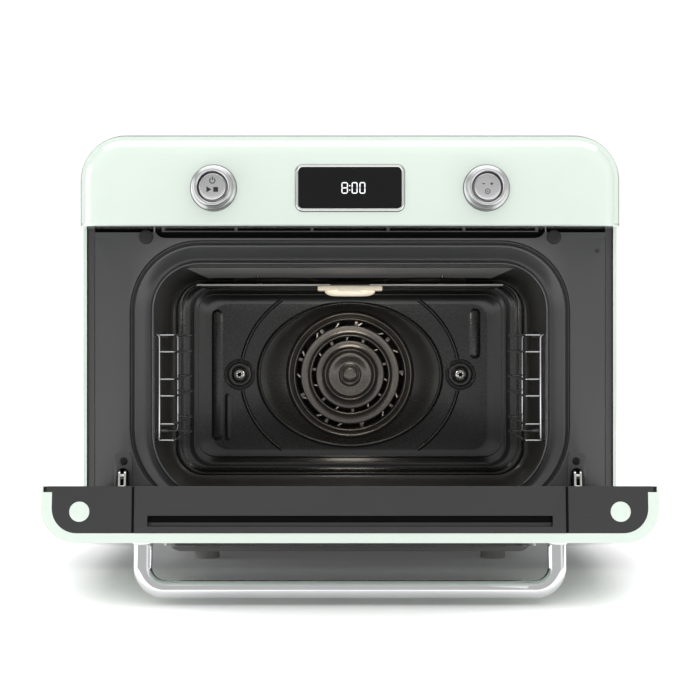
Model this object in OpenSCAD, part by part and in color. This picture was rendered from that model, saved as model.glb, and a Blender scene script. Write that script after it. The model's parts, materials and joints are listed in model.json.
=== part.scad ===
// Countertop convection oven with a drop-down door, shown with the door open.
// X is across the front, Y runs from the front to the back, Z is up from the feet.
// Front parts are laid out from the fascia's front plane; the door is laid out about its hinge axis.

/* [Overall] */
// Width over the painted casing
body_w = 490; // [484:1:500]
// Height from the surface to the top of the fascia
total_h = 395; // [392:1:398]
// Depth from the fascia's front plane to the rearmost face
body_d = 415; // [412:1:425]
// Height of the casing's lower edge
casing_z0 = 48; // [47:0.5:49]

/* [Fascia] */
// Width of the control fascia
fascia_w = 487; // [484:1:489]
// Height of the control fascia
fascia_h = 83; // [82:1:84]
// Depth of the control fascia
fascia_d = 45; // [44:0.5:45]
// Corner radius at the fascia's two upper corners
fascia_r = 41.5; // [41.5:0.5:44]
// Rounding of the fascia's front edge
fascia_edge = 20.5; // [16:0.5:20.5]
// Distance of each knob from the middle
knob_x = 122; // [110:1:140]
// Height of the knob and display centre line
knob_z = 345.8; // [344:0.1:348]
// Outer radius of the knob ring
knob_r = 20.5; // [18:0.5:22]
// Radius of the push button in each knob
button_r = 12; // [11:0.1:13]
// How far the knob stands out
knob_out = 15; // [12:0.5:16]
// Width of the display bezel
display_w = 97.4; // [94:0.1:100]
// Height of the display bezel
display_h = 41.7; // [40:0.1:43]

/* [Opening and cavity] */
// Half width of the oven's mouth
mouth_hw = 181; // [178:1:183]
// Height of the top of the mouth
mouth_z1 = 279.8; // [277:0.1:281]
// Height of the bottom of the mouth
mouth_z0 = 64; // [62:0.5:66]
// Width of the recessed seal channel around the mouth
channel_w = 22; // [20:0.5:22]
// Half width of the cavity
cavity_hw = 195; // [190:1:196]
// Height of the cavity floor
cavity_z0 = 58.6; // [58:0.1:60]
// Height of the cavity ceiling
cavity_z1 = 277.6; // [277:0.1:278]
// Depth position of the pressed rear baffle
baffle_y = 341; // [341:0.5:343]
// Height of the fan axis
fan_z = 172.7; // [168:0.1:176]

/* [Door] */
// Width of the door
door_w = 480; // [478:1:482]
// Opening angle of the door from upright
door_open = 83; // [0:1:83]
// Depth position of the hinge axis
pivot_y = 38; // [38:0.1:38.2]
// Height of the hinge axis
pivot_z = 59.5; // [59:0.1:60]
// Height of the door's upper edge above the hinge axis
door_u1 = 250; // [248:0.5:250.5]
// Thickness of the door
door_t = 44; // [43:0.5:44]
// Rounding of the door's outer side edges
door_edge = 27; // [22:1:28]

/* [Handle] */
// Tube diameter of the handle
handle_dia = 14.5; // [12:0.5:16]
// Distance of each handle leg from the middle
handle_x = 164; // [158:1:170]
// Height of the handle above the hinge axis
handle_u = 215; // [212:1:218]
// Distance of the handle's centre line from the inner face of the door
handle_w = 80; // [76:1:80]
// Radius of the handle's bends
handle_bend = 24; // [20:1:28]

/* [Fan] */
// Outer radius of the convection fan
fan_r = 60; // [55:1:62]
// Number of fan blades
fan_blades = 14; // [8:1:18]

/* [Hidden] */
$fn = 48;
mid_y = (body_d + pivot_y + (6.3 - door_t) * cos(door_open) - door_u1 * sin(door_open)) / 2;
body_hw = body_w / 2 - 0.1;
casing_z1 = total_h - 4;
fascia_z0 = total_h - fascia_h;
fascia_hw = fascia_w / 2;
door_hw = door_w / 2;
frame_y = fascia_d + 2;
sheet = 1.2;
cover_y = 400;
rail_z = [116, 131.2, 157.5, 173.2, 198.9, 214.7];
mint = [0.85, 0.93, 0.87];
dark = [0.27, 0.27, 0.28];
enamel = [0.17, 0.17, 0.17];
chrome_c = [0.78, 0.79, 0.8];
steel_c = [0.62, 0.62, 0.62];
zinc_c = [0.5, 0.51, 0.52];
black_c = [0.06, 0.06, 0.065];
rubber_c = [0.1, 0.1, 0.1];
glass_c = [0.3, 0.32, 0.33, 0.5];
wool_c = [0.75, 0.73, 0.66];
board_c = [0.1, 0.32, 0.18];

// Layout frames
module in_body() {
  translate([0, -mid_y, 0]) children();
}

module in_door() {
  translate([0, pivot_y - mid_y, pivot_z]) rotate([door_open, 0, 0]) children();
}

// Shapes shared by the sub-parts
module both() {
  children();
  mirror([1, 0, 0]) children();
}

module box(x0, x1, y0, y1, z0, z1) {
  translate([x0, y0, z0]) cube([x1 - x0, y1 - y0, z1 - z0]);
}

module rod_x(x0, x1, y, z, r) {
  translate([x0, y, z]) rotate([0, 90, 0]) cylinder(h = x1 - x0, r = r);
}

module rod_y(x, y0, y1, z, r) {
  translate([x, y1, z]) rotate([90, 0, 0]) cylinder(h = y1 - y0, r = r);
}

module rod_z(x, y, z0, z1, r) {
  translate([x, y, z0]) cylinder(h = z1 - z0, r = r);
}

module slab(y0, y1) {
  translate([0, y1, 0]) rotate([90, 0, 0]) linear_extrude(height = y1 - y0) children();
}

module strip(x0, x1) {
  translate([x0, 0, 0]) rotate([90, 0, 90]) linear_extrude(height = x1 - x0) children();
}

module rise(z0, z1) {
  translate([0, 0, z0]) linear_extrude(height = z1 - z0) children();
}

module arch(hw, z0, z1, rt, rb) {
  translate([-hw, z0 + rb]) square([2 * hw, z1 - z0 - rt - rb]);
  if (rt > 0) {
    translate([rt - hw, z0 + rb]) square([2 * (hw - rt), z1 - z0 - rb]);
    for (s = [-1, 1]) translate([s * (hw - rt), z1 - rt]) circle(r = rt);
  }
  if (rb > 0) {
    translate([rb - hw, z0]) square([2 * (hw - rb), z1 - z0 - rt]);
    for (s = [-1, 1]) translate([s * (hw - rb), z0 + rb]) circle(r = rb);
  }
}

module mouth(d) {
  arch(mouth_hw + d, mouth_z0 - 0.6 * d, mouth_z1 + d, 42 + d, 60 + 0.8 * d);
}

module bend_tube(x, y, z, turn, sweep, big_r, r) {
  translate([x, y, z]) rotate([0, 0, turn]) {
    rotate_extrude(angle = sweep) translate([big_r, 0]) circle(r = r);
  }
}

module u_form(hw, y0, y1, r) {
  intersection() {
    arch(hw, y0, y0 + 100, 0, r);
    translate([-hw - 1, y0 - 1]) square([2 * hw + 2, y1 - y0 + 1]);
  }
}

// Outer casing
module casing_wrap() {
  color(mint) in_body() {
    difference() {
      slab(fascia_d + 1, cover_y) arch(body_hw, casing_z0, casing_z1, 44, 0);
      slab(fascia_d, cover_y + 1) arch(body_hw - sheet, casing_z0 - 1, casing_z1 - sheet, 44 - sheet, 0);
      for (i = [0:9]) box(-300, 300, 318 + 7 * i, 321 + 7 * i, 96, 150);
    }
    slab(fascia_d, fascia_d + 2) difference() {
      arch(body_hw, casing_z0, casing_z1, 44, 0);
      arch(body_hw - 3, casing_z0 - 1, casing_z1 - 3, 41, 0);
    }
  }
}

// Control fascia
module fascia_form(d) {
  hw = fascia_hw - d;
  z0 = fascia_z0 + d;
  z1 = total_h - d;
  r = fascia_r - d;
  e = fascia_edge - d;
  slab(d + e, fascia_d) arch(hw, z0, z1, r, 0);
  slab(d, d + e) arch(hw - e, z0, z1 - e, r - e, 0);
  rod_x(r - hw, hw - r, d + e, z1 - e, e);
  for (s = [-1, 1]) rod_z(s * (hw - e), d + e, z0, z1 - r, e);
  for (s = [-1, 1]) translate([s * (hw - r), d + e, z1 - r]) rotate([90, 0, 0]) {
    rotate_extrude() translate([r - e, 0]) circle(r = e);
  }
}

module control_fascia() {
  color(mint) in_body() {
    difference() {
      fascia_form(0);
      difference() {
        fascia_form(3);
        for (x = [-85, 85]) for (z = [-21, 21]) rod_y(x, 0, 16, knob_z + z, 4);
      }
      box(-fascia_hw + 3, fascia_hw - 3, fascia_d - 1, fascia_d + 1, fascia_z0 + 3, total_h - 40);
      for (s = [-1, 1]) rod_y(s * knob_x, -1, 4, knob_z, 9);
      slab(-1, 4) translate([0, knob_z]) {
        arch(display_w / 2 - 2.4, 2.4 - display_h / 2, display_h / 2 - 2.4, 3, 3);
      }
    }
  }
}

// Front frame around the mouth
module front_frame() {
  color(dark) in_body() {
    difference() {
      union() {
        slab(frame_y, frame_y + 1.5) translate([-235, 72]) square([470, 247]);
        box(-241.8, 241.8, 50, 51.2, 49.3, 72);
        box(-235, 235, frame_y, 51.2, 70.8, 72);
        both() box(235, 241.8, 50, 51.2, 49.3, 319);
        both() box(233.8, 235, frame_y, 51.2, 70.8, 319);
      }
      slab(40, 60) mouth(channel_w - 0.5);
      both() box(200, 218, 40, 60, 48, 93.5);
      for (x = [-140, -70, 0, 70, 140]) box(x - 33.5, x + 33.5, 40, 60, 309, 316);
      for (s = [-1, 1]) rod_y(s * 207, 40, 60, 97.2, 1.8);
      rod_y(228, 40, 60, 292, 2);
    }
    difference() {
      slab(frame_y, 57.5) difference() {
        mouth(channel_w);
        mouth(channel_w - 1.5);
      }
      box(-250, 250, frame_y - 1, 50, 40, 72);
    }
    slab(56, 57.5) difference() {
      mouth(channel_w - 1);
      mouth(0);
    }
    slab(50, 57) difference() {
      mouth(1.8);
      mouth(0);
    }
  }
}

module frame_screws() {
  color(steel_c) in_body() both() {
    rod_y(207, 45.4, 47, 97.2, 3.4);
    rod_y(207, 46, 52.5, 97.2, 1.7);
  }
}

module oven_seal() {
  color(rubber_c) in_body() slab(51, 56) difference() {
    mouth(20.2);
    mouth(17);
  }
}

module door_bumpers() {
  color(rubber_c) in_body() both() rod_y(187.7, 44.9, frame_y, 304.8, 6.5);
}

// Cavity
module cavity_liner() {
  color(enamel) in_body() {
    difference() {
      union() {
        slab(57.5, 376) arch(cavity_hw + 1, cavity_z0 - 1, cavity_z1 + 1, 13, 13);
        slab(57.5, 58.5) arch(199.5, 52, 284, 20, 20);
      }
      slab(57, 375) arch(cavity_hw, cavity_z0, cavity_z1, 12, 12);
      rod_y(0, 370, 380, fan_z, 9);
      for (a = [-15, 15]) rod_y(76 * sin(a), 370, 380, fan_z + 76 * cos(a), 4);
      for (x = [-120, 120]) rod_y(x, 370, 380, 271.9, 4);
      box(-20, 20, 200, 222, 270, 285);
      rod_x(190, 200, 360, 255, 2.4);
    }
  }
}

module slot_ring(count, r0, r1, bridge) {
  difference() {
    circle(r = r1);
    circle(r = r0);
    for (i = [0:count - 1]) rotate((i + 0.5) * 360 / count) {
      translate([r0 / 2, -bridge / 2]) square([r1, bridge]);
    }
  }
}

module rear_baffle() {
  color(enamel) in_body() {
    difference() {
      slab(baffle_y, 346) arch(188, 64, 273, 22, 22);
      slab(baffle_y + sheet, 347) arch(188 - sheet, 64 + sheet, 273 - sheet, 21, 21);
      rod_y(0, 330, 350, fan_z, 66);
      for (x = [-120, 120]) box(x - 8, x + 8, 330, 350, 266, 280);
      for (s = [-1, 1]) rod_y(s * 120, 330, 350, fan_z, 2.4);
      both() box(146, 156, 330, 350, 110, 235);
      both() box(170, 178, 330, 350, 90, 245);
    }
    slab(345, 346) difference() {
      arch(194, 60, 276, 14, 14);
      arch(187.5, 65, 272, 20, 20);
      for (x = [-120, 120]) translate([x - 8, 266]) square([16, 20]);
    }
    slab(338, 339.2) translate([0, fan_z]) difference() {
      circle(r = 67.2);
      slot_ring(8, 36, 41, 7);
      slot_ring(10, 52, 58, 8);
    }
    slab(339, 342.2) translate([0, fan_z]) difference() {
      circle(r = 67.2);
      circle(r = 66);
    }
    both() rod_y(120, 339.8, 341.2, fan_z, 0.1 + 1.9);
  }
}

module baffle_screws() {
  color(steel_c) in_body() both() rod_y(120, 336, 339.8, fan_z, 6.3);
}

module ring_heater() {
  color(steel_c) in_body() {
    translate([0, 358, fan_z]) rotate([90, 0, 0]) rotate_extrude() translate([76, 0]) circle(r = 3.2);
    for (a = [-15, 15]) rod_y(76 * sin(a), 358, 386, fan_z + 76 * cos(a), 3);
  }
}

module grill_heater() {
  color(steel_c) in_body() {
    for (s = [-1, 1]) {
      translate([s * 120, 0, 271.9]) rotate([-90, 0, 0]) translate([0, 0, 290]) cylinder(h = 96, r = 3);
      translate([s * 40, 0, 271.9]) rotate([-90, 0, 0]) translate([0, 0, 290]) cylinder(h = 5, r = 3);
      bend_tube(s * 80, 290, 271.9, 180, 180, 40, 3);
    }
    bend_tube(0, 295, 271.9, 0, 180, 40, 3);
  }
}

module ceiling_plate() {
  color(steel_c) in_body() {
    difference() {
      box(-154, 154, 200, 330, 264.7, 266.2);
      box(-20, 20, 199, 222, 260, 270);
    }
    for (s = [-1, 1]) for (y = [262, 318]) rod_z(s * 96, y, 266, 277.6, 2);
  }
}

module bottom_heater() {
  color(steel_c) in_body() {
    for (s = [-1, 1]) translate([s * 60, 136, 53.6]) rotate([-90, 0, 0]) cylinder(h = 244, r = 2.8);
    bend_tube(0, 136, 53.6, 180, 180, 60, 2.8);
  }
}

module lamp_housing() {
  color(steel_c) in_body() {
    difference() {
      box(-32.5, 32.5, 192, 228, 260.5, 264.6);
      box(-28, 28, 196, 224, 260, 263);
    }
    box(-18, 18, 202, 220, 264.5, 296);
  }
}

module lamp_glass() {
  color([0.98, 0.95, 0.88, 0.6]) in_body() difference() {
    slab(196.4, 223.6) arch(27.6, 254.4, 262.8, 0, 4);
    slab(198, 222) arch(26, 256, 263, 0, 3);
  }
}

module lamp_bulb() {
  color([1, 0.93, 0.75]) in_body() {
    rod_x(-14, 14, 210, 260, 2.2);
    for (s = [-1, 1]) rod_x(s * 16.5 - 2.5, s * 16.5 + 2.5, 210, 260, 2.6);
  }
}

module rack_right() {
  color(chrome_c) in_body() {
    for (y = [75, 255]) {
      rod_z(178.7, y, 116, 214.7, 1.2);
      for (z = [116, 214.7]) {
        translate([178.7, y, z]) sphere(r = 1.2);
        rod_x(178.7, 189, y, z, 1.2);
      }
    }
    for (z = rail_z) {
      rod_x(168.5, 177.5, 75, z, 1.15);
      bend_tube(168.5, 79.5, z, 180, 90, 4.5, 1.15);
      translate([164, 79.5, z]) rotate([-90, 0, 0]) cylinder(h = 171, r = 1.15);
      bend_tube(168.5, 250.5, z, 90, 90, 4.5, 1.15);
      rod_x(168.5, 177.5, 255, z, 1.15);
    }
  }
}

module rack_left() {
  mirror([1, 0, 0]) rack_right();
}

module rack_studs() {
  color(steel_c) in_body() both() {
    for (y = [75, 255]) for (z = [116, 214.7]) rod_x(189, cavity_hw, y, z, 3.6);
  }
}

// Insulation and rear fan drive
module insulation() {
  color(wool_c) in_body() difference() {
    slab(122, 375.8) arch(216, 52, 299, 28, 0);
    slab(121, 377) arch(cavity_hw + 1.3, 40, cavity_z1 + 1.3, 13, 0);
    box(-22, 22, 198, 224, 270, 310);
    rod_x(190, 230, 360, 255, 5);
  }
}

module fan_motor() {
  color(zinc_c) in_body() difference() {
    union() {
      rod_y(0, 377.5, 409, fan_z, 22);
      box(-32, 32, 385, 401, fan_z - 24, fan_z + 40);
    }
    rod_y(0, 377, 404, fan_z, 4.05);
  }
}

module motor_bracket() {
  color(zinc_c) in_body() difference() {
    union() {
      box(-62, 62, 376, 377.5, fan_z - 12, fan_z + 12);
      rod_y(0, 376, 377.5, fan_z, 27);
    }
    rod_y(0, 375, 378, fan_z, 9);
  }
}

module fan_wheel() {
  color(steel_c) in_body() {
    difference() {
      rod_y(0, 370, 371.2, fan_z, fan_r);
      for (i = [0:5]) rod_y(36 * cos(i * 60), 369, 372, fan_z + 36 * sin(i * 60), 7);
    }
    rod_y(0, 352, 373, fan_z, 10);
    rod_y(0, 347.5, 402, fan_z, 4);
    for (i = [0:fan_blades - 1]) translate([0, 0, fan_z]) rotate([0, i * 360 / fan_blades, 0]) {
      box(22, fan_r - 1, 351, 370.5, -0.6, 0.6);
    }
  }
}

module fan_nut() {
  color(steel_c) in_body() difference() {
    rod_y(0, 346.5, 352, fan_z, 7.5);
    rod_y(0, 347.5, 353, fan_z, 4);
  }
}

// Cooling air path above the cavity
module top_shelf() {
  color(zinc_c) in_body() {
    box(-240, 240, 58, 396, 304, 305.2);
    both() box(238.8, 240, 58, 396, 305, 318);
  }
}

module air_duct() {
  color(zinc_c) in_body() {
    box(-181.2, 181.2, 51.5, 140, 318, 319.2);
    both() box(180, 181.2, 51.5, 140, 305.2, 318.5);
  }
}

module blower_housing() {
  color(zinc_c) in_body() {
    strip(-128, 128) {
      difference() {
        translate([182, 345]) circle(r = 36);
        translate([182, 345]) circle(r = 34.8);
        translate([140, 300]) square([42, 45]);
        translate([188, 350]) square([40, 40]);
      }
      translate([141, 308.6]) square([41.5, 1.2]);
      translate([146, 319.3]) square([1.2, 26]);
    }
    both() difference() {
      strip(128, 129.2) {
        translate([182, 345]) circle(r = 36);
        translate([146, 306]) square([60, 39]);
      }
      rod_x(120, 135, 182, 345, 3.05);
    }
    both() box(128, 140, 165, 200, 305.2, 306.4);
  }
}

module blower_wheel() {
  color(zinc_c) in_body() {
    for (x = [-126, 0, 125]) rod_x(x, x + 1, 182, 345, 27);
    rod_x(-129.2, 150, 182, 345, 3);
    for (i = [0:17]) translate([0, 182, 345]) rotate([i * 20, 0, 0]) box(-125.5, 125.5, -0.4, 0.4, 20, 26.5);
  }
}

module blower_motor() {
  color(zinc_c) in_body() difference() {
    union() {
      rod_x(133, 168, 182, 345, 22);
      box(140.2, 158, 160, 204, 305.2, 335);
    }
    rod_x(132, 152, 182, 345, 3.05);
  }
}

// Electrical parts
module power_board() {
  color(board_c) in_body() {
    box(-40, 130, 262, 372, 313, 314.6);
    for (x = [-34, 124]) for (y = [268, 366]) rod_z(x, y, 305.2, 313, 3);
    box(-20, 22, 285, 325, 314.6, 346);
    for (i = [0:3]) box(40 + 20 * i, 55 + 20 * i, 275, 303, 314.6, 330);
    for (i = [0:2]) rod_z(48 + 26 * i, 345, 314.6, 340, 9);
    box(-30, 10, 345, 362, 314.6, 326);
  }
}

module thermostat() {
  color(zinc_c) in_body() {
    rod_z(-110, 290, 305.2, 314, 9);
    box(-124, -96, 284, 296, 305.2, 306.4);
    for (s = [-1, 1]) box(-110.4 + 5 * s, -109.6 + 5 * s, 287, 293, 314, 322);
  }
}

module temperature_probe() {
  color(steel_c) in_body() {
    rod_x(158, 204, 360, 255, 1.9);
    translate([158, 360, 255]) sphere(r = 1.9);
    rod_x(200, 206, 360, 255, 4);
  }
}

module door_switch() {
  color(black_c) in_body() {
    box(221, 235, 53, 70, 282, 302);
    rod_y(228, 45.4, 53, 292, 1.8);
  }
}

module control_board() {
  color(board_c) in_body() {
    box(-152, 152, 16, 17.6, knob_z - 26, knob_z + 26);
    box(-60, -30, 17.6, 24, knob_z - 8, knob_z + 10);
    box(-10, 14, 17.6, 20, knob_z - 12, knob_z + 12);
    for (i = [0:2]) box(40 + 22 * i, 54 + 22 * i, 17.6, 26, knob_z - 14, knob_z + 4);
  }
}

module display_module() {
  color(black_c) in_body() {
    box(-45, 45, 3.2, 5, knob_z - 17.5, knob_z + 17.5);
    box(-46, 46, 5, 15.9, knob_z - 20, knob_z + 20);
  }
}

module display_glass() {
  color(black_c) in_body() slab(-0.9, 2.9) translate([0, knob_z]) {
    arch(display_w / 2 - 2.6, 2.6 - display_h / 2, display_h / 2 - 2.6, 2.8, 2.8);
  }
}

module display_bezel() {
  color(chrome_c) in_body() slab(-1.7, 0) translate([0, knob_z]) difference() {
    arch(display_w / 2, -display_h / 2, display_h / 2, 5.2, 5.2);
    arch(display_w / 2 - 2.5, 2.5 - display_h / 2, display_h / 2 - 2.5, 2.9, 2.9);
  }
}

module encoders() {
  color(zinc_c) in_body() both() difference() {
    box(knob_x - 12, knob_x + 12, 3.4, 16, knob_z - 12, knob_z + 12);
    rod_y(knob_x, 3, 13.6, knob_z, 8.05);
  }
}

// Knobs and push buttons
module knob_ring_at(x) {
  color(steel_c) in_body() difference() {
    union() {
      rod_y(x, -4.5, -0.6, knob_z, knob_r);
      rod_y(x, -knob_out, -4, knob_z, knob_r - 2.7);
      rod_y(x, -1, 12, knob_z, 8);
    }
    rod_y(x, -knob_out - 1, 1.5 - knob_out, knob_z, button_r + 1.6);
    rod_y(x, -knob_out - 1, -5, knob_z, button_r + 0.4);
    rod_y(x, -6, 13, knob_z, 3.5);
  }
}

module push_button_at(x) {
  color(steel_c) in_body() {
    rod_y(x, 0.5 - knob_out, -7, knob_z, button_r);
    rod_y(x, -7.5, 11.5, knob_z, 3.45);
  }
}

module knob_ring_left() {
  knob_ring_at(-knob_x);
}

module knob_ring_right() {
  knob_ring_at(knob_x);
}

module push_button_left() {
  push_button_at(-knob_x);
}

module push_button_right() {
  push_button_at(knob_x);
}

// Back and base
module rear_cover() {
  color(zinc_c) in_body() difference() {
    union() {
      slab(cover_y, cover_y + sheet) arch(body_hw, casing_z0, casing_z1, 44, 6);
      slab(cover_y, body_d) arch(112, 98, 250, 10, 10);
    }
    slab(cover_y - 1, body_d - sheet) arch(112 - sheet, 98 + sheet, 250 - sheet, 9, 9);
    for (i = [0:9]) for (s = [-1, 1]) {
      box(s * 50 - 38, s * 50 + 38, body_d - 5, body_d + 1, 116 + 12 * i, 119 + 12 * i);
    }
    for (i = [0:4]) for (s = [-1, 0, 1]) {
      box(s * 120 - 48, s * 120 + 48, cover_y - 1, cover_y + 3, 312 + 11 * i, 315 + 11 * i);
    }
    for (s = [-1, 1]) for (z = [70, 200, 330]) rod_y(s * 228, cover_y - 1, cover_y + 3, z, 2.1);
    for (s = [-1, 1]) rod_y(s * 100, cover_y - 1, cover_y + 3, 376, 2.1);
    rod_y(180, cover_y - 1, cover_y + 3, 82, 7);
  }
}

module cover_screw(x, z) {
  rod_y(x, cover_y + sheet, cover_y + 3.4, z, 4);
  rod_y(x, cover_y - 6, cover_y + 2, z, 2);
}

module rear_cover_screws() {
  color(steel_c) in_body() {
    for (s = [-1, 1]) for (z = [70, 200, 330]) cover_screw(s * 228, z);
    for (s = [-1, 1]) cover_screw(s * 100, 376);
  }
}

module cord_inlet() {
  color(black_c) in_body() difference() {
    union() {
      rod_y(180, 392, 413, 82, 6.9);
      rod_y(180, cover_y + sheet, cover_y + 4.5, 82, 10);
      rod_y(180, 392, cover_y, 82, 8.5);
    }
    rod_y(180, 391, 414, 82, 3.8);
  }
}

module base_pan() {
  color(zinc_c) in_body() {
    box(-243.6, 243.6, 53, cover_y, casing_z0, casing_z0 + sheet);
    both() box(242.2, 243.4, 53, cover_y, casing_z0 + 1, casing_z0 + 14);
  }
}

module base_plinth() {
  color([0.42, 0.42, 0.42]) in_body() difference() {
    slab(112, 385) arch(173.5, 8, casing_z0, 0, 12);
    slab(113.5, 383.5) arch(172, 9.5, casing_z0 + 1, 0, 10.5);
  }
}

module feet() {
  color(rubber_c) in_body() both() {
    for (y = [130, 360]) rod_z(138, y, 0, 8, 12);
  }
}

// Door hinges
module hinge_plate() {
  translate([pivot_y, pivot_z]) circle(r = 7);
  translate([pivot_y, pivot_z - 7]) square([24, 14]);
  translate([53, 52.5]) square([65, 55.5]);
}

module hinge_housings() {
  color(zinc_c) in_body() both() {
    difference() {
      union() {
        strip(201.5, 203) hinge_plate();
        strip(214, 215.5) hinge_plate();
      }
      rod_x(200, 217, pivot_y, pivot_z, 3);
    }
    box(202, 215, 60, 118, 106.5, 108);
    box(202, 215, 116.5, 118, 53, 108);
  }
}

module hinge_pins() {
  color(steel_c) in_body() both() rod_x(200.6, 216.4, pivot_y, pivot_z, 3);
}

module hinge_arms() {
  color(chrome_c) in_door() both() difference() {
    strip(205, 212) {
      circle(r = 7);
      translate([0, -5]) square([27, 10]);
      translate([27, 0]) circle(r = 5);
      translate([-5, 0]) square([6.7, 60]);
    }
    rod_x(200, 216, 0, 0, 3.06);
  }
}

// Door
module door_profile(d) {
  u_form(door_hw - d, 6.3 - door_t + d, 6.3, door_edge - d);
}

module door_core() {
  u_form(231.5, 6.3 - 36.5, 1.6, 19.5);
}

module window(hw, u0, u1, r) {
  arch(hw, u0, u1, r, r);
}

module hinge_notch() {
  both() box(199, 219, -9.5, 7, -10, 9);
}

module door_shell() {
  color(mint) in_door() difference() {
    union() {
      rise(-9, door_u1) difference() {
        door_profile(0);
        translate([0, 0.1]) door_profile(1.5);
      }
      for (u = [-9, door_u1 - 1.5]) rise(u, u + 1.5) difference() {
        door_profile(0);
        door_core();
        translate([-238.4, 1.6]) square([476.8, 6]);
      }
    }
    slab(-40, -30) window(152.3, 27.7, 190.3, 22);
    for (s = [-1, 1]) rod_y(s * handle_x, -40, -30, handle_u, 2.6);
    hinge_notch();
  }
}

module door_inner_frame() {
  color(dark) in_door() difference() {
    union() {
      rise(-7.4, door_u1) difference() {
        u_form(231.4, -30.1, 1.7, 19.4);
        u_form(229.9, -28.6, 1.8, 17.9);
      }
      rise(door_u1 - 1.5, door_u1) u_form(231.4, -30.1, 1.7, 19.4);
      rise(-7.4, -5.9) u_form(231.4, -30.1, 1.7, 19.4);
      slab(1.7, 6.3) arch(238.2, -9, door_u1, 6, 10);
    }
    slab(1, 7) window(200, 18, 236, 12);
    slab(-32, -20) window(172, 22, 196, 24);
    box(-157.2, 157.2, -25, -16.6, door_u1 - 3, door_u1 + 1);
    for (s = [-1, 1]) rod_z(s * 210, -13.5, door_u1 - 3, door_u1 + 1, 7.9);
    hinge_notch();
  }
}

module inner_glass() {
  color(glass_c) in_door() slab(1.9, 5.9) window(199.7, 18.3, 235.7, 11.7);
}

module outer_glass() {
  color(glass_c) in_door() slab(-39.2, -34) window(152, 28, 190, 21.7);
}

module door_plugs() {
  color(mint) in_door() both() {
    rod_z(210, -13.5, door_u1 - 4, door_u1 + 0.5, 7.9);
  }
}

module handle_bar() {
  color(chrome_c) in_door() difference() {
    rod_x(handle_bend - handle_x, handle_x - handle_bend, 6.3 - handle_w, handle_u, handle_dia / 2);
    rod_x(-handle_x, handle_x, 6.3 - handle_w, handle_u, handle_dia / 2 - 1.5);
  }
}

module handle_elbows() {
  bend_x = handle_x - handle_bend;
  bend_y = 6.3 - handle_w + handle_bend;
  color(chrome_c) in_door() both() {
    bend_tube(bend_x, bend_y, handle_u, -90, 90, handle_bend, handle_dia / 2);
    difference() {
      rod_y(handle_x, bend_y, 6.3 - door_t, handle_u, handle_dia / 2);
      rod_y(handle_x, bend_y + 1, 7 - door_t, handle_u, 2.6);
    }
  }
}

module handle_screws() {
  color(steel_c) in_door() both() {
    rod_y(handle_x, -36.1, -34.1, handle_u, 5);
    rod_y(handle_x, -47, -36, handle_u, 2.5);
  }
}

// Sub-parts
casing_wrap();
control_fascia();
front_frame();
frame_screws();
oven_seal();
door_bumpers();
cavity_liner();
rear_baffle();
baffle_screws();
ring_heater();
grill_heater();
ceiling_plate();
bottom_heater();
lamp_housing();
lamp_glass();
lamp_bulb();
rack_left();
rack_right();
rack_studs();
insulation();
fan_motor();
motor_bracket();
fan_wheel();
fan_nut();
top_shelf();
air_duct();
blower_housing();
blower_wheel();
blower_motor();
power_board();
thermostat();
temperature_probe();
door_switch();
control_board();
display_module();
display_glass();
display_bezel();
encoders();
knob_ring_left();
knob_ring_right();
push_button_left();
push_button_right();
rear_cover();
rear_cover_screws();
cord_inlet();
base_pan();
base_plinth();
feet();
hinge_housings();
hinge_pins();
door_shell();
door_inner_frame();
inner_glass();
outer_glass();
door_plugs();
handle_bar();
handle_elbows();
handle_screws();
hinge_arms();
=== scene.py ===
"""Countertop convection oven with its door open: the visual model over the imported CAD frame."""
import json
import math
import bmesh
import bpy
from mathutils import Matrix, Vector


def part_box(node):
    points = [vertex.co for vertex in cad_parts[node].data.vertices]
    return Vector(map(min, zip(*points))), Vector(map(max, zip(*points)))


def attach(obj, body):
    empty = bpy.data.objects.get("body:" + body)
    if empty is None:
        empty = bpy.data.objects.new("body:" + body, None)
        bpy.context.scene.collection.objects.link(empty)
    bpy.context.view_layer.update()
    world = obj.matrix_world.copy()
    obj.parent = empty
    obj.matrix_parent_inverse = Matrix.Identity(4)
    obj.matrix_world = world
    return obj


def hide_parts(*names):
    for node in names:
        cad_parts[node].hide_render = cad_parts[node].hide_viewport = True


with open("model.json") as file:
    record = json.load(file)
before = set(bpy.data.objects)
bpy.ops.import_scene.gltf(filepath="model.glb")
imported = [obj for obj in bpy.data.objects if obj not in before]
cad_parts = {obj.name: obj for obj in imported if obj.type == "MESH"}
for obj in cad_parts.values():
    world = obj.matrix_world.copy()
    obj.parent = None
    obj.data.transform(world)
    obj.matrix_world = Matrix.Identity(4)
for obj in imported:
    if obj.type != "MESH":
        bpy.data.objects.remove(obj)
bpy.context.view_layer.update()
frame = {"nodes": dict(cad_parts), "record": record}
record = frame["record"]

# ---------------------------------------------------------------- frames of reference
MM = 0.001
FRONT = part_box("control_fascia")[0].y            # the fascia's front plane
hinge = [j for j in record["behaviour"]["joints"] if j["name"] == "door_hinge"][0]
PIVOT = Vector(hinge["pos_m"])
OPEN = math.radians(hinge["range_deg"][1])
INNER = 6.3                                      # the door's inner face behind its axis, mm


def body(x, y, z):
    """Millimetres from the fascia's front plane to the row frame."""
    return Vector((x * MM, FRONT + y * MM, z * MM))


def door(x, w, u):
    """Millimetres in the door: w out from its inner face, u up from its hinge axis."""
    y, z = (INNER - w) * MM, u * MM
    c, s = math.cos(OPEN), math.sin(OPEN)
    return Vector((x * MM, PIVOT.y + y * c - z * s, PIVOT.z + y * s + z * c))


# ---------------------------------------------------------------- materials
def linear(rgb):
    """An 8-bit sRGB colour as linear RGBA."""
    return tuple(((c / 255 + 0.055) / 1.055) ** 2.4 if c > 10 else c / 255 / 12.92 for c in rgb) + (1.0,)


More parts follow.
